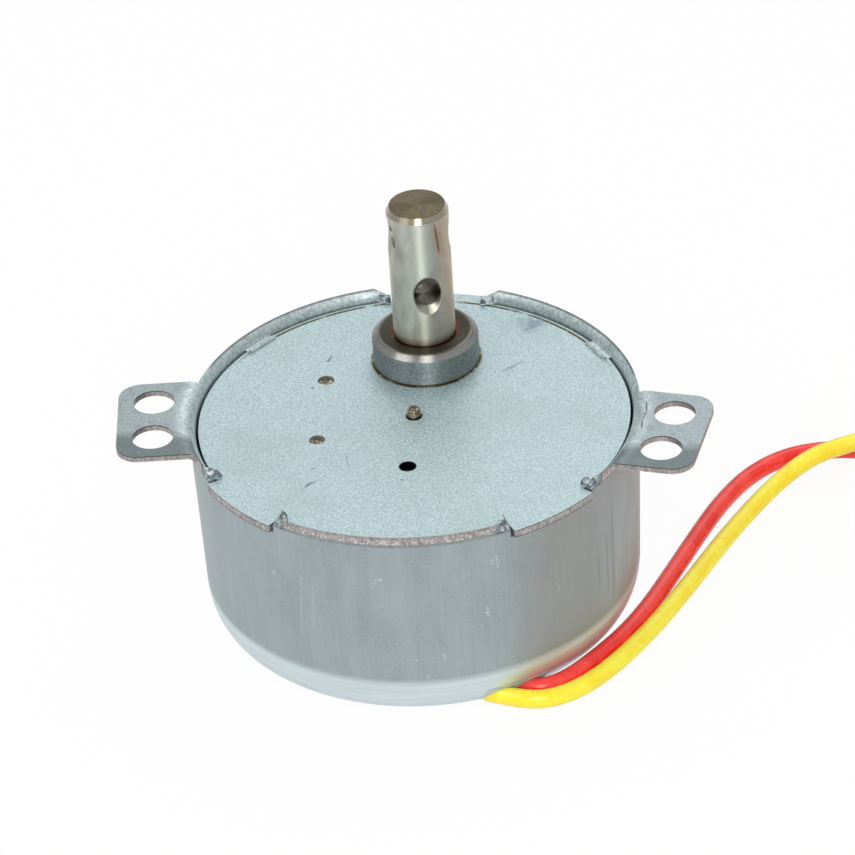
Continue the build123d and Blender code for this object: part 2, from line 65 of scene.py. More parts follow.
CAMERA_PLACE = (64.835, -409.352, 301.692)
CAMERA_RIGHT = (0.9917, 0.11663, -0.05417)
CAMERA_UP = (-0.02091, 0.56187, 0.82696)
CAMERA_SENSOR = 36.0
CAMERA_LENS = 189.85


def place_camera():
    right, up = Vector(CAMERA_RIGHT), Vector(CAMERA_UP)
    camera = bpy.data.objects.new("camera", bpy.data.cameras.new("camera"))
    bpy.context.scene.collection.objects.link(camera)
    turn = Matrix((right, up, right.cross(up))).transposed()
    camera.location = Vector(CAMERA_PLACE) * MM
    camera.rotation_euler = turn.to_euler()
    camera.data.sensor_width = CAMERA_SENSOR
    camera.data.lens = CAMERA_LENS
    camera.data.clip_start = 0.02
    camera.data.clip_end = 20.0
    bpy.context.scene.camera = camera


place_camera()


# Leads: PVC wires that lie on the floor and end wound up

LEAD_D = 2.1
LYING = LEAD_D / 2
RED_ROUTE = [
    (10.93, -18.37, LYING),
    (14.6, -19.9, LYING),
    (17.8, -17.9, LYING),
    (20.75, -13.8, LYING),
    (23.5, -9.3, LYING),
    (25.8, -4.0, LYING),
    (28.0, 2.7, LYING),
    (30.3, 10.0, LYING),
    (32.5, 16.4, LYING),
    (35.4, 22.1, LYING),
    (39.2, 26.0, LYING),
    (43.8, 27.8, LYING),
    (49.4, 27.9, LYING),
    (56.0, 25.6, LYING),
]
# the yellow lead rises to cross over the red one
YELLOW_ROUTE = [
    (9.2, -20.4, LYING),
    (13.6, -21.9, LYING),
    (17.5, -20.9, LYING),
    (21.0, -17.6, LYING),
    (24.2, -12.5, LYING),
    (27.3, -6.2, LYING),
    (30.4, 1.5, LYING),
    (33.4, 9.2, 1.1),
    (36.3, 15.6, 1.2),
    (39.4, 20.4, 2.0),
    (43.0, 24.0, 2.9),
    (46.8, 26.0, 3.1),
    (51.0, 27.9, 3.5),
    (55.0, 31.2, 3.1),
    (59.4, 35.8, 1.2),
]
# where each lead's coil begins, the way the lead runs there, and the side it turns to
RED_COIL = ((62.3, 23.4), (6.2, -1.8), -1)
YELLOW_COIL = ((64.2, 38.6), (6.2, 3.4), 1)
COIL_MIDDLE_R = 9.4
TURN_POINTS = 16
COIL_STEPS = 58
# the turns at which a coil steps inward, up a layer and outward again, and how fast
STEP_IN, STEP_UP, STEP_OUT, STEP_RATE = 0.84, 1.72, 2.62, 8
LAYER_GAP = 0.02


def coil_points(start, along, side):
    """Two layers of two turns, a lead's thickness apart, as control points."""
    along = Vector(along).normalized()
    out = Vector((-along.y, along.x)) * -side
    middle = Vector(start) - out * COIL_MIDDLE_R
    far, near = COIL_MIDDLE_R + LEAD_D / 2, COIL_MIDDLE_R - LEAD_D / 2
    low, high = LYING, LEAD_D * 1.5 + LAYER_GAP
    # the curve runs inside its control points, so they stand out by this much
    bulge = 1 / (0.75 + 0.25 * math.cos(math.tau / TURN_POINTS))
    points = []
    for step in range(COIL_STEPS):
        turn = step / TURN_POINTS
        inward, upward, outward = (
            min(max((turn - begin) * STEP_RATE, 0), 1) for begin in (STEP_IN, STEP_UP, STEP_OUT)
        )
        r = (far + (near - far) * (inward - outward)) * bulge
        angle = turn * math.tau
        spot = middle + (out * math.cos(angle) + along * math.sin(angle)) * r
        points.append((spot.x, spot.y, low + (high - low) * upward))
    return points


def make_lead(name, route, coil, nodes):
    curve = bpy.data.curves.new(name, "CURVE")
    curve.dimensions = "3D"
    curve.resolution_u = 8
    # each point carries the lead's thickness, so that the lead's box is its real one
    curve.bevel_depth = 1.0
    curve.bevel_resolution = 6
    curve.use_fill_caps = True
    points = route + coil_points(*coil)
    spline = curve.splines.new("NURBS")
    spline.points.add(len(points) - 1)
    for point, place in zip(spline.points, points):
        point.co = (place[0] * MM, place[1] * MM, place[2] * MM, 1.0)
        point.radius = LEAD_D / 2 * MM
    spline.order_u = 3
    spline.use_endpoint_u = True
    lead = bpy.data.objects.new(name, curve)
    bpy.context.scene.collection.objects.link(lead)
    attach(lead, "housing")
    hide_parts(*nodes)
    return lead


red_wire = make_lead("red_wire", RED_ROUTE, RED_COIL, ("red_lead", "red_coil"))
yellow_wire = make_lead("yellow_wire", YELLOW_ROUTE, YELLOW_COIL, ("yellow_lead", "yellow_coil"))


# Materials: nodes and patterns

# a Mix node's sockets, where it mixes colours
FACTOR, UNDER, OVER, MIXED = 0, 6, 7, 2
# the zinc plating's grain is about 0.05 mm and is drawn coarser, so that it shows
GRAIN = 0.22
# the lathe's rings are about 0.05 mm apart and are drawn coarser, so that they show
LATHE_RINGS = 0.12
# the winding's turns are 0.12 mm apart and are drawn coarser, so that they show
WIRE_PITCH = 0.36
EVEN = (1.0, 1.0, 1.0)
UPWARD = (1.0, 1.0, 2.5)


def linear(code):
    """An sRGB hex colour as linear red, green, blue and alpha."""
    parts = [int(code[k : k + 2], 16) / 255 for k in (1, 3, 5)]
    return [p / 12.92 if p <= 0.04045 else ((p + 0.055) / 1.055) ** 2.4 for p in parts] + [1.0]


def add(tree, kind, inputs=(), output=0, **settings):
    """Adds a node and gives one of its outputs: a value in inputs is set on its socket, and
    a socket is linked to it."""
    node = tree.nodes.new("ShaderNode" + kind)
    for name, value in settings.items():
        setattr(node, name, value)
    for name, value in dict(inputs).items():
        if isinstance(value, bpy.types.NodeSocket):
            tree.links.new(value, node.inputs[name])
        else:
            node.inputs[name].default_value = value
    return node.outputs[output] if node.outputs else None


def new_material(name):
    """A material with its shader, and the place on the object in millimetres."""
    material = bpy.data.materials.new(name)
    material.use_nodes = True
    tree = material.node_tree
    tree.nodes.clear()
    surface = add(tree, "BsdfPrincipled")
    add(tree, "OutputMaterial", {"Surface": surface})
    coords = add(tree, "TexCoord", output="Object")
    place = add(tree, "VectorMath", {0: coords, "Scale": 1 / MM}, operation="SCALE")
    return material, tree, surface.node, place


def dress(material, *names):
    for name in names:
        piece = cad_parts[name] if isinstance(name, str) else name
        piece.data.materials.clear()
        piece.data.materials.append(material)


def coated(tree, colour, *coats):
    """Lays coats over a colour one after another. A coat is a share from 0 to 1 and a colour,
    and a colour is a hex code or a socket."""
    colour = linear(colour) if isinstance(colour, str) else colour
    for share, coat in coats:
        coat = linear(coat) if isinstance(coat, str) else coat
        inputs = {FACTOR: share, UNDER: colour, OVER: coat}
        colour = add(tree, "Mix", inputs, MIXED, data_type="RGBA")
    return colour


def mottle(tree, place, size, low=0.35, high=0.65, stretch=EVEN, detail=3.0):
    """Soft spots of a size in millimetres, drawn out along an axis by stretch, from 0 to 1."""
    spread = tuple(1 / (size * s) for s in stretch)
    spot = add(tree, "VectorMath", {0: place, 1: spread}, operation="MULTIPLY")
    inputs = {"Vector": spot, "Scale": 1.0, "Detail": detail, "Roughness": 0.6}
    cloud = add(tree, "TexNoise", inputs)
    inputs = {"Value": cloud, "From Min": low, "From Max": high}
    return add(tree, "MapRange", inputs, interpolation_type="SMOOTHSTEP")


def from_height(tree, place, none, full, share=1.0):
    """0 at one height in millimetres, rising to a share at another."""
    z = add(tree, "SeparateXYZ", {0: place}, "Z")
    inputs = {"Value": z, "From Min": none, "From Max": full, "To Max": share}
    return add(tree, "MapRange", inputs, interpolation_type="SMOOTHSTEP")


def round_axis(tree, place, centre, none, full, share=1.0):
    """0 at one radius from an upright axis in millimetres, rising to a share at another."""
    offset = add(tree, "VectorMath", {0: place, 1: (*centre, 0.0)}, operation="SUBTRACT")
    flat = add(tree, "VectorMath", {0: offset, 1: (1.0, 1.0, 0.0)}, operation="MULTIPLY")
    r = add(tree, "VectorMath", {0: flat}, "Value", operation="LENGTH")
    inputs = {"Value": r, "From Min": none, "From Max": full, "To Max": share}
    return add(tree, "MapRange", inputs, interpolation_type="SMOOTHSTEP")


def on_upright(tree):
    """1 on faces that stand up and 0 on level ones."""
    normal = add(tree, "NewGeometry", output="Normal")
    z = add(tree, "SeparateXYZ", {0: normal}, "Z")
    steep = add(tree, "Math", {0: z}, operation="ABSOLUTE")
    inputs = {"Value": steep, "From Min": 0.7, "From Max": 0.4}
    return add(tree, "MapRange", inputs, interpolation_type="SMOOTHSTEP")


def scratches(tree, place, marks):
    """Thin marks between pairs of points, in millimetres, each with a width."""
    drawn = 0.0
    for start, end, width in marks:
        a, b = Vector(start), Vector(end)
        along = (b - a).normalized()
        offset = add(tree, "VectorMath", {0: place, 1: (a + b) / 2}, operation="SUBTRACT")
        length = add(tree, "VectorMath", {0: offset, 1: along}, "Value", operation="DOT_PRODUCT")
        stem = add(tree, "VectorMath", {0: along, "Scale": length}, operation="SCALE")
        side = add(tree, "VectorMath", {0: offset, 1: stem}, operation="SUBTRACT")
        away = add(tree, "VectorMath", {0: side}, "Value", operation="LENGTH")
        reach = add(tree, "Math", {0: length}, operation="ABSOLUTE")
        half = (b - a).length / 2
        ends = {"Value": reach, "From Min": half * 1.1, "From Max": half * 0.5}
        sides = {"Value": away, "From Min": width * 0.7, "From Max": width * 0.3}
        inside = add(tree, "MapRange", ends, interpolation_type="SMOOTHSTEP")
        thin = add(tree, "MapRange", sides, interpolation_type="SMOOTHSTEP")
        mark = add(tree, "Math", {0: inside, 1: thin}, operation="MULTIPLY")
        drawn = add(tree, "Math", {0: mark, 1: drawn}, operation="MAXIMUM")
    return drawn


def at_height(z, marks):
    """Marks drawn on a level face, lifted to its height."""
    return [((*start, z), (*end, z), width) for start, end, width in marks]


def on_wall(tree, place):
    """The place carried straight out or in to the cup's wall, which marks there are set by."""
    flat = add(tree, "VectorMath", {0: place, 1: (1.0, 1.0, 0.0)}, operation="MULTIPLY")
    outward = add(tree, "VectorMath", {0: flat}, operation="NORMALIZE")
    rise = add(tree, "VectorMath", {0: place, 1: (0.0, 0.0, 1.0)}, operation="MULTIPLY")
    shell = add(tree, "VectorMath", {0: outward, "Scale": WALL_R}, operation="SCALE")
    return add(tree, "VectorMath", {0: shell, 1: rise}, operation="ADD")


def finish_coat(tree, shader, colour, sheen, rough_low, rough_high, relief, depth, strength=0.5):
    """Links a colour, spreads the roughness over a pattern and raises a pattern by a depth in
    millimetres."""
    tree.links.new(colour, shader.inputs["Base Color"])
    inputs = {"Value": sheen, "To Min": rough_low, "To Max": rough_high}
    tree.links.new(add(tree, "MapRange", inputs), shader.inputs["Roughness"])
    inputs = {"Height": relief, "Distance": depth * MM, "Strength": strength}
    tree.links.new(add(tree, "Bump", inputs), shader.inputs["Normal"])


# Materials: what is seen from outside

# scratches, pits and tool marks, each from one point to another with a width
COVER_MARKS = (
    ((-10.4, -14.5), (-9.1, -12.8), 0.15),
    ((-10.2, -14.1), (-9.7, -13.1), 0.12),
    ((-10.2, -10.7), (-9.4, -10.5), 0.08),
    ((8.6, 9.1), (11.2, 11.6), 0.12),
    ((9.2, 9.1), (10.3, 10.5), 0.1),
    ((-11.2, 10.3), (-10.7, 11.9), 0.15),
    ((-11.5, 10.6), (-10.7, 10.6), 0.15),
    ((-6.7, -7.3), (-5.9, -10.6), 0.05),
    ((0.1, -12.5), (0.3, -12.3), 0.3),
    ((-12.2, 5.0), (-12.0, 5.2), 0.35),
)
WALL_RUBBED = (
    ((22.2, -10.1, 20.5), (22.4, -9.7, 5.5), 0.8),
    ((21.7, -11.1, 17.0), (21.9, -10.7, 7.0), 0.35),
    ((20.9, -12.5, 15.0), (21.1, -12.2, 9.0), 0.3),
)
WALL_MARKS = (
    ((-9.54, -22.46, 19.7), (-10.48, -22.04, 7.4), 0.07),
    ((-8.3, -22.95, 18.0), (-8.9, -22.72, 10.5), 0.05),
    ((-1.54, -24.35, 18.9), (-0.6, -24.39, 19.2), 0.3),
    ((-1.9, -24.33, 18.5), (-1.2, -24.37, 18.6), 0.22),
    ((2.04, -24.31, 8.3), (2.4, -24.28, 8.0), 0.25),
    ((5.27, -23.82, 8.9), (5.35, -23.8, 7.9), 0.25),
    ((5.7, -23.72, 8.6), (5.8, -23.7, 8.3), 0.25),
    ((3.32, -24.17, 5.9), (3.6, -24.13, 5.6), 0.22),
    ((-13.1, -20.6, 17.2), (-12.8, -20.77, 16.6), 0.16),
    ((10.0, -22.26, 14.4), (10.1, -22.21, 12.6), 0.2),
    ((9.7, -22.39, 13.4), (10.2, -22.17, 13.5), 0.16),
    ((16.9, -17.6, 14.5), (17.3, -17.2, 12.5), 0.06),
    ((11.1, -21.73, 20.9), (11.3, -21.63, 18.9), 0.25),
    ((10.6, -21.98, 20.6), (10.8, -21.88, 19.6), 0.2),
)
# the right ear's crease, drawn as a line of painted shade
EAR_CREASE_SHADE = (
    ((25.7, 1.5), (25.9, -0.6), 0.16),
    ((25.9, -0.4), (25.5, -2.2), 0.13),
    ((25.5, -2.0), (25.6, -3.9), 0.16),
    ((25.1, 2.6), (25.0, -0.2), 0.12),
)
SHAFT_RUST = (((2.25, 9.12, 42.9), (2.55, 9.4, 38.6), 0.28),)


def zinc_plated_cover():
    """Zinc-plated steel sheet: pale blue-grey, satin, with a fine sparkle of the plating's
    grain, small dark scratches, oil-brown round the bushing, painted shade in the gap along its
    back edge, and bare grey steel where sheared, with painted dark lines of shade on its edge."""
    material, tree, shader, place = new_material("zinc_plated_cover")
    grain = mottle(tree, place, GRAIN, 0.3, 0.7, detail=2.0)
    dull = mottle(tree, place, 9.0, 0.45, 0.8)
    dull = add(tree, "Math", {0: dull, 1: 0.3}, operation="MULTIPLY")
    marks = scratches(tree, place, at_height(COVER_TOP, COVER_MARKS))
    # oil has crept out brown round the bushing; along the edge at the back, the olive line is
    # painted shade in the gap by the cup's wall
    bush = round_axis(tree, place, SHAFT_AXIS, BUSH_R + 0.45, BUSH_R + 0.1)
    back_gap_shade = round_axis(tree, place, MOTOR_AXIS, 23.3, 23.42)
    outside = round_axis(tree, place, MOTOR_AXIS, 23.75, 23.62)
    back_gap_shade = add(tree, "Math", {0: back_gap_shade, 1: outside}, operation="MULTIPLY")
    back = add(tree, "SeparateXYZ", {0: place}, "Y")
    back = add(tree, "MapRange", {"Value": back, "From Min": 9.0, "From Max": 14.0})
    back_gap_shade = add(tree, "Math", {0: back_gap_shade, 1: back}, operation="MULTIPLY")
    oil = add(tree, "Math", {0: bush, 1: back_gap_shade}, operation="MAXIMUM")
    broken = mottle(tree, place, 2.2, 0.3, 0.5)
    oil = add(tree, "Math", {0: oil, 1: broken}, operation="MULTIPLY")
    stain = round_axis(tree, place, (10.9, 19.0), 2.4, 0.8)
    stain = add(tree, "Math", {0: stain, 1: mottle(tree, place, 1.6)}, operation="MULTIPLY")
    # the hole over the first arbor is black inside with old grease
    grease = round_axis(tree, place, FIRST_ARBOR, 0.99, 0.96)
    zinc = coated(
        tree,
        "#A5B9BE",
        (grain, "#D3E5E8"),
        (dull, "#A3B1B0"),
        (marks, "#6B7777"),
        (oil, "#655A2E"),
        (stain, "#8FA3AC"),
        (grease, "#15130F"),
    )
    # dark lines are painted along the sheared edge: painted shade along its rolled-over top and
    # a painted shadow along its foot
    torn = mottle(tree, place, 0.35, 0.3, 0.7, UPWARD)
    rolled_edge_shade = from_height(tree, place, COVER_TOP - 0.13, COVER_TOP - 0.07)
    foot_shadow_line = from_height(tree, place, COVER_UNDER + 0.15, COVER_UNDER)
    bare = coated(tree, "#8A8686", (torn, "#BDB8B7"), (rolled_edge_shade, "#565252"), (foot_shadow_line, "#4A4444"))
    cut = round_axis(tree, place, MOTOR_AXIS, CUP_R - 0.7, CUP_R - 0.4)
    cut = add(tree, "Math", {0: on_upright(tree), 1: cut}, operation="MULTIPLY")
    colour = coated(tree, zinc, (cut, bare))
    shader.inputs["Metallic"].default_value = 0.75
    finish_coat(tree, shader, colour, grain, 0.44, 0.58, grain, 0.02)
    return material


def drawn_wall(tree, place, grain, soft):
    """The cup's wall and rounded bottom corner."""
    lines = mottle(tree, place, 0.3, stretch=(1.0, 1.0, 60.0))
    lines = add(tree, "Math", {0: lines, 1: 0.14}, operation="MULTIPLY")
    fine = add(tree, "Math", {0: grain, 1: 0.25}, operation="MULTIPLY")
    # a brownish painted shade darkens the side by the leads
    side_shade_by_leads = round_axis(tree, place, (18.5, -16.0), 10.5, 2.0, 0.6)
    shell = on_wall(tree, place)
    rubbed = scratches(tree, shell, WALL_RUBBED)
    rubbed = add(tree, "Math", {0: rubbed, 1: 0.3}, operation="MULTIPLY")
    bright = {0: scratches(tree, shell, WALL_MARKS), 1: mottle(tree, place, 0.35, 0.35, 0.75)}
    bright = add(tree, "Math", bright, operation="MULTIPLY")
    specks = mottle(tree, place, 0.6, 0.7, 0.76, detail=4.0)
    specks = add(tree, "Math", {0: specks, 1: 0.4}, operation="MULTIPLY")
    # the rounded bottom corner is painted paler as a painted reflection of the white floor, with
    # faint hoops round it
    hoops = mottle(tree, place, 0.45, 0.3, 0.7, (30.0, 30.0, 1.0))
    hoops = coated(tree, "#C6D2D7", (hoops, "#D1DDE2"))
    floor_reflection = from_height(tree, place, 5.6, 4.5)
    return coated(
        tree,
        "#959FA4",
        (soft, "#A4AFB4"),
        (lines, "#7B868A"),
        (fine, "#B9C4C8"),
        (side_shade_by_leads, "#908C85"),
        (rubbed, "#7C6A68"),
        (bright, "#D9E0E2"),
        (specks, "#DDE4E6"),
        (floor_reflection, hoops),
    )


def rim_and_ears(tree, place, grain):
    """The cup's level faces on top."""
    ring = mottle(tree, place, 0.4, 0.3, 0.7)
    ring = coated(tree, "#B4C2C5", (ring, "#DDE8EB"))
    ear = coated(tree, "#939FA2", (grain, "#B8C3C6"))
    reach = round_axis(tree, place, MOTOR_AXIS, CUP_R + 0.3, CUP_R + 2.0)
    handled = mottle(tree, place, 1.5, 0.5, 0.75)
    handled = add(tree, "Math", {0: handled, 1: 0.45}, operation="MULTIPLY")
    # the rim's outer edge is drawn as a thin dark line, and the crease at the foot of the right
    # ear is a dark line of painted shade
    line = round_axis(tree, place, MOTOR_AXIS, CUP_R - 0.22, CUP_R - 0.1)
    beside = add(tree, "SeparateXYZ", {0: place}, "Y")
    beside = add(tree, "Math", {0: beside}, operation="ABSOLUTE")
    inputs = {"Value": beside, "From Min": 6.5, "From Max": 8.0, "To Max": 0.7}
    beside = add(tree, "MapRange", inputs)
    line = add(tree, "Math", {0: line, 1: beside}, operation="MULTIPLY")
    crease_shade = scratches(tree, place, at_height(RIM_TOP, EAR_CREASE_SHADE))
    return coated(
        tree,
        ring,
        (reach, ear),
        (handled, "#7E8A8C"),
        (line, "#5E696C"),
        (crease_shade, "#626B6D"),
    )


def trimmed_edge(tree, place):
    """The sheet's sheared edge on rim and ears: bare, with painted bright glints low down and a
    dark top line of painted shade.
    """
    torn = mottle(tree, place, 0.3, 0.3, 0.7, UPWARD)
    # painted glints, spotted low on the edge
    painted_glints = mottle(tree, place, 0.3, 0.5, 0.6)
    low = from_height(tree, place, RIM_TOP - 0.52, RIM_TOP - 0.72)
    painted_glints = add(tree, "Math", {0: painted_glints, 1: low}, operation="MULTIPLY")
    # a dark line of painted shade along the rolled-over top
    rolled_edge_shade = from_height(tree, place, RIM_TOP - 0.17, RIM_TOP - 0.07)
    return coated(tree, "#857F80", (torn, "#B5AFAE"), (painted_glints, "#CFCBCA"), (rolled_edge_shade, "#4F4A49"))


def zinc_plated_cup():
    """The same sheet drawn into a cup: smooth and greyer on its wall, with faint lines and white
    scuffs from the die, a painted shade by the leads, a painted reflection of the floor round
    its bottom corner, duller on its ears, painted shade and glints on its claws and stakes, and
    bare steel with painted glints and a painted dark top line on its trimmed edges."""
    material, tree, shader, place = new_material("zinc_plated_drawn_cup")
    grain = mottle(tree, place, GRAIN, 0.3, 0.7, detail=2.0)
    soft = mottle(tree, place, 4.0, 0.3, 0.7, UPWARD)
    on_top = from_height(tree, place, COVER_TOP - 0.29, COVER_TOP + 0.11)
    trimmed = from_height(tree, place, COVER_TOP + 0.26, COVER_TOP + 0.33)
    trimmed = add(tree, "Math", {0: on_upright(tree), 1: trimmed}, operation="MULTIPLY")
    beyond = round_axis(tree, place, MOTOR_AXIS, CUP_R - 0.02, CUP_R + 0.03)
    trimmed = add(tree, "Math", {0: trimmed, 1: beyond}, operation="MULTIPLY")
    # the six pinched claws get painted shade and painted glints on their facets, spread by a
    # mottle
    claw_facet_light = 0.0
    for angle in CLAW_ANGLES:
        way = math.radians(angle)
        foot = (CLAW_R * math.cos(way), CLAW_R * math.sin(way))
        near = round_axis(tree, place, foot, 1.5, 1.2)
        claw_facet_light = add(tree, "Math", {0: near, 1: claw_facet_light}, operation="MAXIMUM")
    above = from_height(tree, place, COVER_TOP + 0.11, COVER_TOP + 0.26)
    claw_facet_light = add(tree, "Math", {0: claw_facet_light, 1: above}, operation="MULTIPLY")
    torn = mottle(tree, place, 0.5, 0.42, 0.6)
    torn = coated(tree, "#6A7376", (torn, "#CCD5D7"))
    # the two lanced stakes' upright faces are painted dark as the shade along them
    stake_shade = from_height(tree, place, COVER_TOP + 0.11, COVER_TOP + 0.21)
    stake_shade = add(tree, "Math", {0: on_upright(tree), 1: stake_shade}, operation="MULTIPLY")
    within = round_axis(tree, place, MOTOR_AXIS, 23.7, 23.5, 0.8)
    stake_shade = add(tree, "Math", {0: stake_shade, 1: within}, operation="MULTIPLY")
    colour = coated(
        tree,
        drawn_wall(tree, place, grain, soft),
        (on_top, rim_and_ears(tree, place, grain)),
        (trimmed, trimmed_edge(tree, place)),
        (claw_facet_light, torn),
        (stake_shade, "#4E585B"),
    )
    shader.inputs["Metallic"].default_value = 0.75
    finish_coat(tree, shader, colour, soft, 0.42, 0.5, grain, 0.015, 0.35)
    return material


def turned_shaft():
    """Turned and ground steel: satin and a little green-grey, with its sheen drawn out along
    the shaft, a polished chamfer, one rust-brown streak, a warm painted shade on its right side,
    painted shade inside the lower hole, and a dark brown end, partly oil and partly a painted
    dark reflection."""
    material, tree, shader, place = new_material("turned_steel_shaft")
    cloud = mottle(tree, place, 1.8, 0.35, 0.7, UPWARD)
    rings = mottle(tree, place, LATHE_RINGS, 0.3, 0.7, (60.0, 60.0, 1.0), 2.0)
    faint = add(tree, "Math", {0: rings, 1: 0.16}, operation="MULTIPLY")
    # a warm painted shade on the right side
    right_side_shade = add(tree, "SeparateXYZ", {0: place}, "X")
    inputs = {"Value": right_side_shade, "From Min": 1.4, "From Max": 3.2, "To Max": 0.6}
    right_side_shade = add(tree, "MapRange", inputs)
    rust = scratches(tree, place, SHAFT_RUST)
    low = from_height(tree, place, 28.4, 27.0, 0.85)
    # inside the lower hole is painted shade, left off its countersink underneath
    bore_shade = round_axis(tree, place, SHAFT_AXIS, SHAFT_R - 0.06, SHAFT_R - 0.2)
    below = from_height(tree, place, 38.0, 37.0)
    bore_shade = add(tree, "Math", {0: bore_shade, 1: below}, operation="MULTIPLY")
    above = from_height(tree, place, 32.0, 32.8)
    bore_shade = add(tree, "Math", {0: bore_shade, 1: above}, operation="MULTIPLY")
    slope = from_height(tree, place, CHAMFER_FOOT - 0.03, CHAMFER_FOOT + 0.03)
    # the end face is dark brown, partly oil and partly a painted dark reflection
    end_oil_and_dark_reflection = mottle(tree, place, 0.6, 0.3, 0.7)
    end_oil_and_dark_reflection = coated(tree, "#645B47", (end_oil_and_dark_reflection, "#70664F"))
    end = from_height(tree, place, SHAFT_END - 0.09, SHAFT_END - 0.02)
    colour = coated(
        tree,
        "#CDCEC4",
        (cloud, "#B2B0A4"),
        (faint, "#A5A499"),
        (right_side_shade, "#BBA994"),
        (rust, "#A56A48"),
        (low, "#6E6350"),
        (bore_shade, "#6A6156"),
        (slope, "#B5AB9A"),
        (end, end_oil_and_dark_reflection),
    )
    shader.inputs["Metallic"].default_value = 1.0
    shader.inputs["Anisotropic"].default_value = 0.9
    shader.inputs["Anisotropic Rotation"].default_value = 0.25
    satin = from_height(tree, place, CHAMFER_FOOT + 0.03, CHAMFER_FOOT - 0.03)
    finish_coat(tree, shader, colour, satin, 0.27, 0.44, rings, 0.002, 0.3)
    return material


def sintered_bush():
    """Sintered iron soaked in oil: dark brown on top, blue-grey and finely pitted round its
    side with its sheen drawn out upwards, and a wet brown ring of oil round the shaft."""
    material, tree, shader, place = new_material("oiled_sintered_iron")
    pits = mottle(tree, place, 0.25, 0.3, 0.7)
    side = coated(tree, "#72797A", (pits, "#969C9C"))
    face = coated(tree, "#3F3C34", (pits, "#544F45"))
    level = from_height(tree, place, BUSH_TOP - 0.14, BUSH_TOP - 0.04)
    # a painted highlight lightens the ring at its upper edge, which is also made smoother
    painted_highlight_ring = round_axis(tree, place, SHAFT_AXIS, BUSH_R - 1.1, BUSH_R - 0.6)
    high = from_height(tree, place, BUSH_TOP - 0.74, BUSH_TOP - 0.49, 0.55)
    painted_highlight_ring = add(tree, "Math", {0: painted_highlight_ring, 1: high}, operation="MULTIPLY")
    oil = round_axis(tree, place, SHAFT_AXIS, SHAFT_R + 0.6, SHAFT_R + 0.25)
    top = from_height(tree, place, BUSH_TOP - 0.64, BUSH_TOP - 0.34)
    oil = add(tree, "Math", {0: oil, 1: top}, operation="MULTIPLY")
    crept = from_height(tree, place, COVER_TOP + 0.31, COVER_TOP + 0.06)
    colour = coated(
        tree,
        side,
        (level, face),
        (painted_highlight_ring, "#A19E97"),
        (oil, "#4A2D10"),
        (crept, "#4C3A18"),
    )
    shader.inputs["Metallic"].default_value = 0.9
    shader.inputs["Anisotropic"].default_value = 0.85
    shader.inputs["Anisotropic Rotation"].default_value = 0.25
    smooth = add(tree, "Math", {0: oil, 1: painted_highlight_ring}, operation="MAXIMUM")
    dry = add(tree, "Math", {0: 1.0, 1: smooth}, operation="SUBTRACT")
    finish_coat(tree, shader, colour, dry, 0.14, 0.44, pits, 0.008, 0.3)
    return material


def pin_steel(name, dark, light):
    """Bright drawn steel pins with domed shiny ends, browned by oil."""
    material, tree, shader, place = new_material(name)
    film = mottle(tree, place, 0.4)
    colour = coated(tree, dark, (film, light))
    shader.inputs["Metallic"].default_value = 1.0
    domes = 0.0
    for centre in (SECOND_ARBOR, THIRD_ARBOR, FIRST_ARBOR):
        dome = round_axis(tree, place, centre, 0.95, -0.95)
        domes = add(tree, "Math", {0: dome, 1: domes}, operation="MAXIMUM")
    finish_coat(tree, shader, colour, film, 0.14, 0.3, domes, 0.9, 1.0)
    return material


def pvc(name, deep, bright):
    """Extruded PVC insulation: glossy and full of colour, faintly uneven, with dark specks
    of dirt."""
    material, tree, shader, place = new_material(name)
    patches = mottle(tree, place, 3.0, detail=2.0)
    specks = mottle(tree, place, 0.5, 0.73, 0.78, detail=2.0)
    specks = add(tree, "Math", {0: specks, 1: 0.6}, operation="MULTIPLY")
    colour = coated(tree, deep, (patches, bright), (specks, "#6A3A22"))
    waves = mottle(tree, place, 1.4, 0.2, 0.8)
    shader.inputs["IOR"].default_value = 1.53
    shader.inputs["Subsurface Weight"].default_value = 0.15
    shader.inputs["Subsurface Scale"].default_value = 0.0006
    finish_coat(tree, shader, colour, patches, 0.22, 0.32, waves, 0.006, 0.12)
    return material


# Materials: what the closed cup hides


def machined_metal(name, dark, light, rough_low, rough_high, size, stretch, depth):
    """A metal part inside, with the marks its making left."""
    material, tree, shader, place = new_material(name)
    marks = mottle(tree, place, size, 0.3, 0.7, stretch)
    colour = coated(tree, dark, (marks, light))
    shader.inputs["Metallic"].default_value = 1.0
    finish_coat(tree, shader, colour, marks, rough_low, rough_high, marks, depth)
    return material


def moulded_plastic(name, shade, tint, ior, rough_low, rough_high, through):
    """Injection-moulded plastic: even colour, a faint texture from the mould."""
    material, tree, shader, place = new_material(name)
    flow = mottle(tree, place, 4.0, 0.3, 0.7)
    texture = mottle(tree, place, 0.2, 0.2, 0.8, detail=2.0)
    colour = coated(tree, shade, (flow, tint))
    shader.inputs["IOR"].default_value = ior
    shader.inputs["Subsurface Weight"].default_value = through
    shader.inputs["Subsurface Scale"].default_value = 0.0008
    finish_coat(tree, shader, colour, texture, rough_low, rough_high, texture, 0.01, 0.4)
    return material


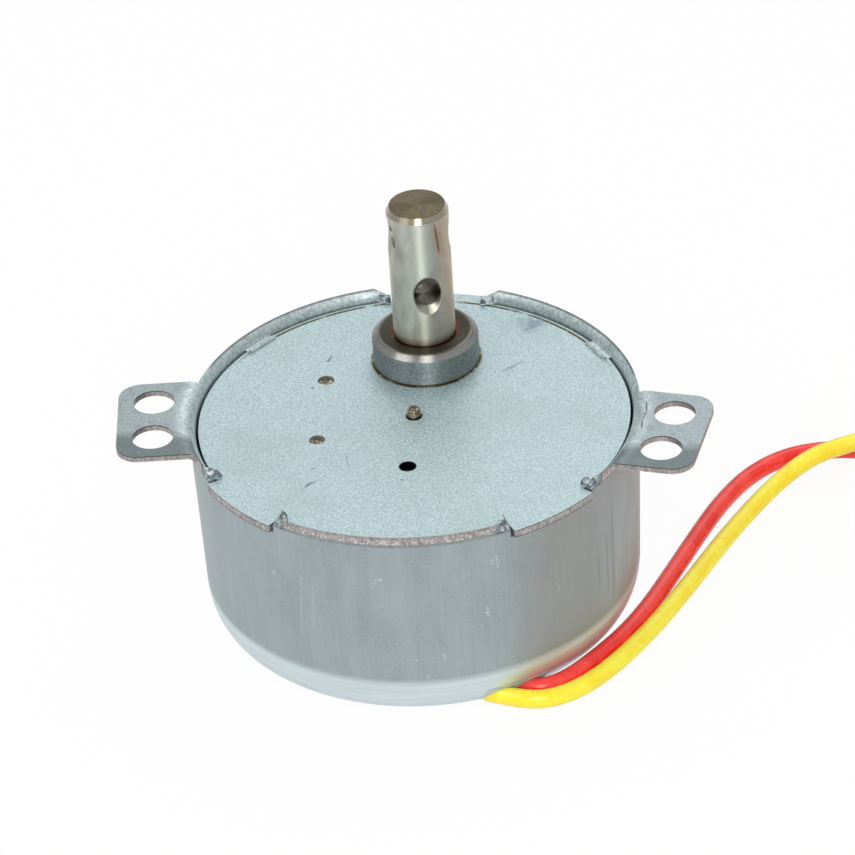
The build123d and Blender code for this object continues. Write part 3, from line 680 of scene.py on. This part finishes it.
def wound_wire():
    """Enamelled copper wire wound in level turns, copper-red under clear enamel."""
    material, tree, shader, place = new_material("enamelled_copper_winding")
    z = add(tree, "SeparateXYZ", {0: place}, "Z")
    turns = add(tree, "Math", {0: z, 1: math.tau / WIRE_PITCH}, operation="MULTIPLY")
    wave = add(tree, "Math", {0: turns}, operation="SINE")
    crest = add(tree, "MapRange", {"Value": wave, "From Min": -1.0, "From Max": 1.0})
    colour = coated(tree, "#6E2F14", (crest, "#C46A38"))
    shader.inputs["Metallic"].default_value = 0.9
    shader.inputs["Coat Weight"].default_value = 0.6
    finish_coat(tree, shader, colour, crest, 0.36, 0.26, crest, 0.04, 0.6)
    return material


def ferrite():
    """Pressed and fired ferrite: near-black grey, dull, with fine pores."""
    material, tree, shader, place = new_material("fired_ferrite")
    pores = mottle(tree, place, 0.3, 0.3, 0.7, detail=4.0)
    colour = coated(tree, "#26262A", (pores, "#3C3C41"))
    finish_coat(tree, shader, colour, pores, 0.5, 0.75, pores, 0.03)
    return material


dress(zinc_plated_cover(), "cover_plate")
dress(zinc_plated_cup(), "housing_cup")
dress(turned_shaft(), "output_shaft")
dress(sintered_bush(), "output_bushing")
dress(
    pin_steel("drawn_steel_pin", "#6E6252", "#B5A993"),
    "rotor_pin",
    "second_arbor",
    "third_arbor",
)
dress(pin_steel("oil_blackened_arbor", "#121110", "#35312C"), "first_arbor")
dress(pvc("red_pvc_insulation", "#F0302B", "#FF4A42"), red_wire)
dress(pvc("yellow_pvc_insulation", "#FFE52C", "#FFF245"), yellow_wire)

# name, dark and light colour, least and greatest roughness, size, stretch and depth of its
# marks, and the pieces made of it
METALS = (
    (
        ("punched_pole_steel", "#8C9496", "#AEB6B8", 0.32, 0.46, 0.3, (1.0, 1.0, 6.0), 0.01),
        ("lower_pole_ring", "upper_pole_ring"),
    ),
    (
        ("zinc_plated_gear_plate", "#A3AEB0", "#C6D0D2", 0.34, 0.5, 0.25, EVEN, 0.015),
        ("gear_plate",),
    ),
    (
        ("hobbed_brass", "#B08D4A", "#D6B468", 0.24, 0.38, 0.15, (1.0, 1.0, 8.0), 0.008),
        ("second_wheel", "third_wheel", "output_wheel"),
    ),
    (
        ("hobbed_steel_pinion", "#7D7F80", "#B4B6B6", 0.22, 0.36, 0.12, (1.0, 1.0, 8.0), 0.006),
        ("second_pinion", "third_pinion"),
    ),
    (
        ("stamped_steel_washer", "#8E9090", "#BDBFBF", 0.28, 0.42, 0.2, EVEN, 0.008),
        ("thrust_washers", "output_washer"),
    ),
    (
        ("tinned_brass_pin", "#B5B6B0", "#DAD9D0", 0.2, 0.34, 0.3, (1.0, 1.0, 3.0), 0.01),
        ("terminal_pins",),
    ),
)
# name, shade and tint, IOR, least and greatest roughness and how far light goes through, and
# the pieces made of it
PLASTICS = (
    (
        ("moulded_acetal", "#E6E3D8", "#F2F0E8", 1.48, 0.34, 0.46, 0.2),
        ("first_gear", "rotor_hub"),
    ),
    (("moulded_white_nylon", "#DCD8CC", "#EAE7DD", 1.53, 0.38, 0.52, 0.15), ("coil_bobbin",)),
    (("moulded_grey_nylon", "#A9B4BA", "#B8C2C7", 1.53, 0.36, 0.5, 0.0), ("lead_bush",)),
    (("polyester_film_tape", "#D8B23A", "#E7C654", 1.64, 0.16, 0.26, 0.1), ("coil_tape",)),
)
for looks, pieces in METALS:
    dress(machined_metal(*looks), *pieces)
for looks, pieces in PLASTICS:
    dress(moulded_plastic(*looks), *pieces)
dress(wound_wire(), "coil_winding")
dress(ferrite(), "rotor_magnet")


# Floor, light and background, in metres

FLOOR_SIZE = 6.0
FLOOR_HEIGHT = -0.0001
FLOOR_WHITE = 0.93  # the share of plain white in what is seen of the floor
TENT_STRENGTH = 0.72
LAMP_AIM = (0, 0, 0.02)


def make_floor():
    bpy.ops.object.select_all(action="DESELECT")
    bpy.ops.mesh.primitive_plane_add(size=FLOOR_SIZE, location=(0.0, 0.0, FLOOR_HEIGHT))
    floor = bpy.context.object
    floor.name = "studio_floor"
    material = bpy.data.materials.new("white_studio_floor")
    material.use_nodes = True
    tree = material.node_tree
    tree.nodes.clear()
    paper = add(tree, "BsdfDiffuse", {"Color": linear("#F4F4F2")})
    white = add(tree, "Emission", {"Color": linear("#FFFFFF"), "Strength": 1.0})
    direct = add(tree, "LightPath", output="Is Camera Ray")
    mirrored = add(tree, "LightPath", output="Is Glossy Ray")
    seen = add(tree, "Math", {0: direct, 1: mirrored}, operation="MAXIMUM")
    through = add(tree, "LightPath", output="Is Transmission Ray")
    seen = add(tree, "Math", {0: seen, 1: through}, operation="MAXIMUM")
    # the rest is paper, which keeps the motor's shadow
    amount = add(tree, "Math", {0: seen, 1: FLOOR_WHITE}, operation="MULTIPLY")
    both = add(tree, "MixShader", {0: amount, 1: paper, 2: white})
    add(tree, "OutputMaterial", {"Surface": both})
    floor.data.materials.append(material)


def make_world():
    """A white tent: paler overhead than at the sides, and plain white behind the motor."""
    world = bpy.data.worlds.new("tent")
    bpy.context.scene.world = world
    world.use_nodes = True
    tree = world.node_tree
    tree.nodes.clear()
    way = add(tree, "TexCoord", output="Generated")
    up = add(tree, "SeparateXYZ", {0: way}, "Z")
    inputs = {"Value": up, "From Min": -0.05, "From Max": 0.6}
    overhead = add(tree, "MapRange", inputs, interpolation_type="SMOOTHSTEP")
    tone = coated(tree, "#A8ABAB", (overhead, "#F4F6F6"))
    tent = add(tree, "Background", {"Color": tone, "Strength": TENT_STRENGTH})
    white = add(tree, "Background", {"Color": linear("#FFFFFF"), "Strength": 1.0})
    seen = add(tree, "LightPath", output="Is Camera Ray")
    both = add(tree, "MixShader", {0: seen, 1: tent, 2: white})
    add(tree, "OutputWorld", {"Surface": both})


def soft_box(name, place, size, power, colour):
    light = bpy.data.lights.new(name, "AREA")
    light.shape = "RECTANGLE"
    light.size, light.size_y = size
    light.energy = power
    light.color = linear(colour)[:3]
    lamp = bpy.data.objects.new(name, light)
    bpy.context.scene.collection.objects.link(lamp)
    lamp.location = place
    lamp.rotation_euler = (Vector(LAMP_AIM) - Vector(place)).to_track_quat("-Z", "Y").to_euler()


make_floor()
make_world()
soft_box("key_left", (-0.45, -0.35, 0.6), (0.4, 0.4), 1.2, "#FFFFFF")
soft_box("fill_front", (0.11, -0.70, 0.55), (0.3, 0.55), 3.2, "#FFFDF8")
soft_box("top_back", (0.1, 0.5, 0.6), (0.6, 0.4), 0.9, "#FFFFFF")

bpy.context.scene.view_settings.view_transform = "Standard"
bpy.context.view_layer.update()
